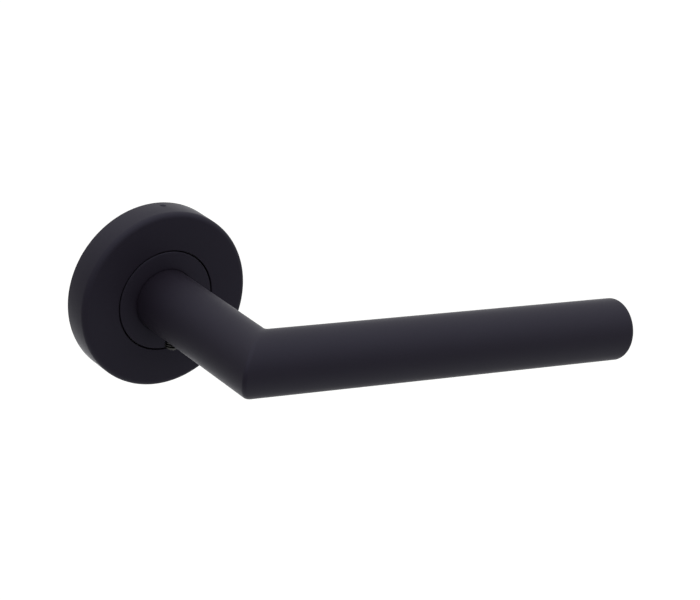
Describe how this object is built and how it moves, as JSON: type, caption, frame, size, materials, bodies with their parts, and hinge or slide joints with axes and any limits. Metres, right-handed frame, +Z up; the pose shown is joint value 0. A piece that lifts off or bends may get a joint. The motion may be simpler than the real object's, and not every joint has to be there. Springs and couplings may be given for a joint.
{
  "type": "lever handle on rose",
  "caption": "Matt black round-bar door lever with a mitred neck on a round sprung rose, with spring cassette, square spindle and bolt-through fixings, for one side of a door.",
  "frame": {"origin": "centre of the rose's back, where the lever's turning axis meets the door's face", "axes": "+Y along the turning axis into the door, +X along the grip at rest, +Z up"},
  "size_m": [0.157, 0.0985, 0.054],
  "materials": {
    "black_coat": "matt black electrophoretic coat on steel",
    "zinc_casting": "bare zinc die casting",
    "bare_steel": "turned bare steel",
    "zinc_plate": "bright zinc plate on steel",
    "spring_steel": "oiled spring steel",
    "acetal": "moulded black acetal",
    "black_rubber": "moulded black nitrile rubber"
  },
  "bodies": {
    "rose_base": {"base_plate": "zinc_casting", "cover_o_ring": "black_rubber", "spring_housing": "black_coat", "housing_screw_left": "zinc_plate", "housing_screw_right": "zinc_plate", "neck_bush": "acetal", "rear_bush": "acetal", "driver_washer": "acetal", "return_spring": "spring_steel", "thrust_washer": "bare_steel", "fixing_screw_upper": "zinc_plate", "fixing_screw_lower": "zinc_plate"},
    "lever": {"lever_tube": "black_coat", "end_cap": "black_coat", "neck_insert": "bare_steel", "spring_driver": "zinc_plate", "grub_screw": "spring_steel", "spindle": "zinc_plate", "retaining_ring": "spring_steel"},
    "cover": {"rose_cover": "black_coat"}
  },
  "joints": [
    {"name": "lever_turn", "type": "hinge", "parent": "rose_base", "child": "lever", "pos_m": [0, 0, 0], "axis": [0, 1, 0], "range_deg": [0, 45], "stiffness_Nm_per_rad": 0.25, "springref_deg": -68.75, "deforming": ["return_spring"]},
    {"name": "cover_slide", "type": "slide", "parent": "rose_base", "child": "cover", "axis": [0, -1, 0], "range_m": [0, 0.04]}
  ]
}
